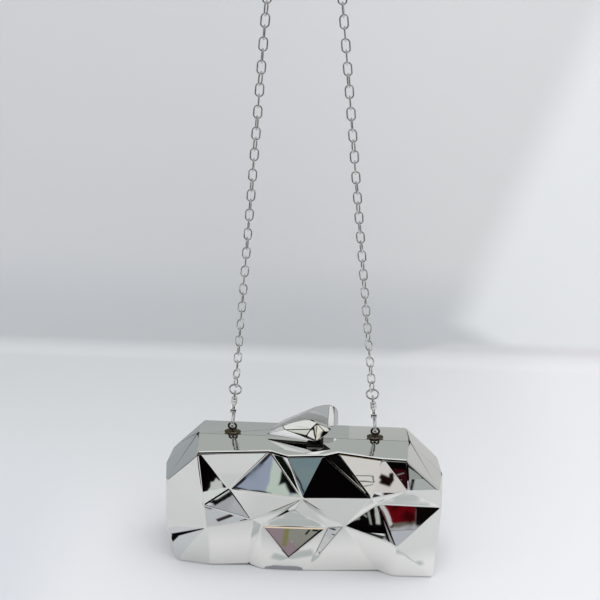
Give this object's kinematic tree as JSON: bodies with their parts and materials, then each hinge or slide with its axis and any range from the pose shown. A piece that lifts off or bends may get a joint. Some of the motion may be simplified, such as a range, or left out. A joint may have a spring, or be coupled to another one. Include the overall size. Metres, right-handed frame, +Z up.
{
  "type": "clutch bag",
  "caption": "Faceted mirror-finish evening clutch: two hinged half shells, a cut-crystal clasp and a chain strap on snap hooks.",
  "frame": {"origin": "middle of the bag's bottom, on the surface that it stands on, in the seam between its halves", "axes": "+Z up along the strap, +X along the bag to the right of someone who looks at its front, +Y to the back"},
  "size_m": [0.197, 0.056, 0.4392],
  "materials": {
    "mirror_chrome": "mirror-polished plating",
    "strap_chrome": "polished plating",
    "inner_steel": "satin",
    "lining_cloth": "dark woven lining on card"
  },
  "bodies": {
    "back_half": {"back_shell": "mirror_chrome", "back_rim": "inner_steel", "back_lining": "lining_cloth", "back_knuckles": "inner_steel", "hinge_pin": "inner_steel", "back_clasp": "mirror_chrome", "back_clasp_screw": "inner_steel", "left_eyelet": "strap_chrome", "right_eyelet": "strap_chrome", "left_eyelet_nut": "inner_steel", "right_eyelet_nut": "inner_steel", "left_hook": "strap_chrome", "right_hook": "strap_chrome", "left_gate_pin": "inner_steel", "right_gate_pin": "inner_steel", "left_ring": "strap_chrome", "right_ring": "strap_chrome", "chain": "strap_chrome"},
    "front_half": {"front_shell": "mirror_chrome", "front_rim": "inner_steel", "front_lining": "lining_cloth", "front_knuckles": "inner_steel", "front_clasp": "mirror_chrome", "front_clasp_screw": "inner_steel"},
    "left_gate_body": {"left_gate": "strap_chrome"},
    "right_gate_body": {"right_gate": "strap_chrome"}
  },
  "joints": [
    {"name": "front_opening", "type": "hinge", "parent": "back_half", "child": "front_half", "pos_m": [0, 0, 0.0027], "axis": [1, 0, 0], "range_deg": [0, 70]},
    {"name": "left_gate_spring", "type": "hinge", "parent": "back_half", "child": "left_gate_body", "pos_m": [-0.0477, -0.00075, 0.12662], "axis": [0.9953, 0, -0.0972], "range_deg": [0, 22], "stiffness_Nm_per_rad": 0.01, "springref_deg": -11.46},
    {"name": "right_gate_spring", "type": "hinge", "parent": "back_half", "child": "right_gate_body", "pos_m": [0.0477, -0.00075, 0.12662], "axis": [0.9953, 0, 0.0972], "range_deg": [0, 22], "stiffness_Nm_per_rad": 0.01, "springref_deg": -11.46}
  ]
}
